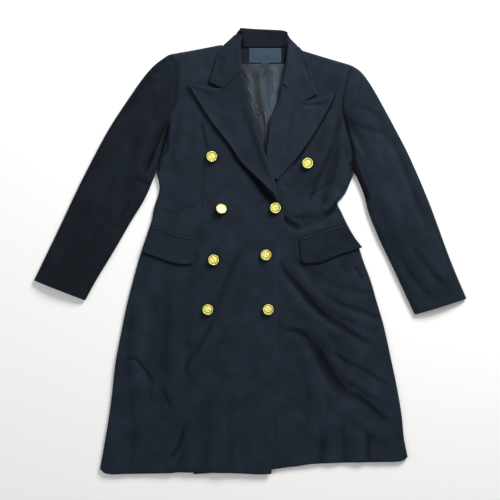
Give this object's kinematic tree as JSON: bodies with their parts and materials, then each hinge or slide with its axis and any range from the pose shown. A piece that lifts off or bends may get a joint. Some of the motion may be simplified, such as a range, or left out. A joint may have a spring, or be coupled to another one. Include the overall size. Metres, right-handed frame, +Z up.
{
  "type": "peacoat",
  "caption": "Knee-length double-breasted navy wool coat with peaked lapels, notched collar, flap pockets and gilt shank buttons, lying flat on its back",
  "frame": {"origin": "middle of the underside of the laid-out coat's bounding box, on the surface that it lies on", "axes": "+Y runs up the coat from hem to collar, +Z is up, away from the surface and towards the viewer, and +X is towards the wearer's left"},
  "size_m": [0.97, 1, 0.0238],
  "materials": {
    "wool": "navy wool melton, matt, with a short felted nap",
    "upper_wool": "navy wool melton of the lapels and collar, pressed",
    "lining": "slate blue satin lining, soft sheen",
    "label": "slate blue woven label, bare",
    "gilt": "gilt brass, polished, with a rope rim"
  },
  "bodies": {
    "root": {"back": "wool", "front_right": "wool", "front_left": "wool", "sleeve_right_top": "wool", "sleeve_right_under": "wool", "sleeve_left_top": "wool", "sleeve_left_under": "wool", "pocket_flap_right": "wool", "pocket_flap_left": "wool", "pocket_jet_right": "wool", "pocket_jet_left": "wool", "neck_facing": "wool", "lapel_right": "upper_wool", "lapel_left": "upper_wool", "collar": "upper_wool", "lining": "lining", "neck_label": "label", "size_tab": "label", "button_1": "gilt", "button_2": "gilt", "button_3": "gilt", "button_4": "gilt", "button_5": "gilt", "button_6": "gilt", "button_7": "gilt", "button_8": "gilt"}
  },
  "joints": []
}
